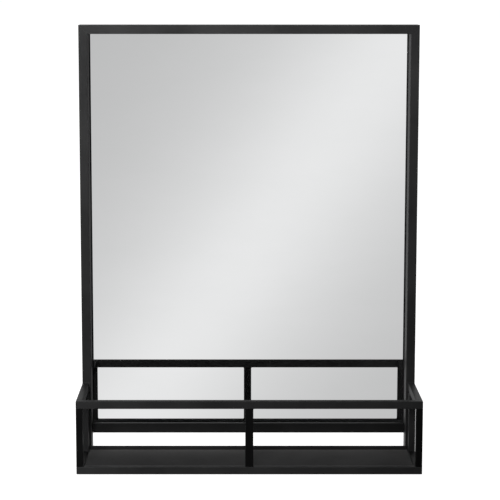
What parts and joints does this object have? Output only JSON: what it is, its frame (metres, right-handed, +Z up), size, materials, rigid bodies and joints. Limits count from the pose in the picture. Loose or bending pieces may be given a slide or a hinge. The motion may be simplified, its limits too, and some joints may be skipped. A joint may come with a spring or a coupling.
{
  "type": "wall mirror with shelf basket",
  "caption": "Rectangular wall mirror in a deep black steel frame, with an open bar basket and shelf across its foot and ring hangers behind.",
  "frame": {"origin": "middle of the footprint, level with the underside of the basket", "axes": "+Z up, -Y the side that a person looks into, +Y the wall, +X to the viewer's right"},
  "size_m": [0.508, 0.159, 0.654],
  "materials": {
    "frame_black": "satin black powder coat, very fine texture",
    "basket_black": "satin black powder coat, very fine texture",
    "shelf_black": "satin black powder coat on flat sheet",
    "mirror_silver": "polished silvered glass",
    "board_brown": "raw medium-density fibreboard",
    "zinc_plate": "bright zinc-plated steel",
    "bumper_rubber": "matt moulded rubber"
  },
  "bodies": {
    "mirror": {"frame_top_rail": "frame_black", "frame_left_stile": "frame_black", "frame_right_stile": "frame_black", "frame_cross_rail": "frame_black", "mirror_glass": "mirror_silver", "backboard": "board_brown", "basket_front_top_rail": "basket_black", "basket_front_bottom_rail": "basket_black", "basket_left_front_post": "basket_black", "basket_right_front_post": "basket_black", "basket_centre_post": "basket_black", "basket_left_top_rail": "basket_black", "basket_right_top_rail": "basket_black", "basket_left_rear_post": "basket_black", "basket_right_rear_post": "basket_black", "basket_left_bottom_bar": "basket_black", "basket_right_bottom_bar": "basket_black", "shelf_rear_lip": "basket_black", "shelf_plate": "shelf_black", "left_hanger_strap": "zinc_plate", "left_hanger_screw": "zinc_plate", "right_hanger_strap": "zinc_plate", "right_hanger_screw": "zinc_plate", "clip_left_upper": "zinc_plate", "clip_left_upper_screw": "zinc_plate", "clip_left_lower": "zinc_plate", "clip_left_lower_screw": "zinc_plate", "clip_right_upper": "zinc_plate", "clip_right_upper_screw": "zinc_plate", "clip_right_lower": "zinc_plate", "clip_right_lower_screw": "zinc_plate", "clip_top": "zinc_plate", "clip_top_screw": "zinc_plate", "clip_bottom": "zinc_plate", "clip_bottom_screw": "zinc_plate", "bumper_left_upper": "bumper_rubber", "bumper_left_lower": "bumper_rubber", "bumper_right_upper": "bumper_rubber", "bumper_right_lower": "bumper_rubber"},
    "left_ring": {"left_hanger_ring": "zinc_plate"},
    "right_ring": {"right_hanger_ring": "zinc_plate"}
  },
  "joints": [
    {"name": "left_ring_swing", "type": "hinge", "parent": "mirror", "child": "left_ring", "pos_m": [-0.165, 0.0767, 0.56], "axis": [1, 0, 0], "range_deg": [0, 180]},
    {"name": "right_ring_swing", "type": "hinge", "parent": "mirror", "child": "right_ring", "pos_m": [0.165, 0.0767, 0.56], "axis": [1, 0, 0], "range_deg": [0, 180]}
  ]
}
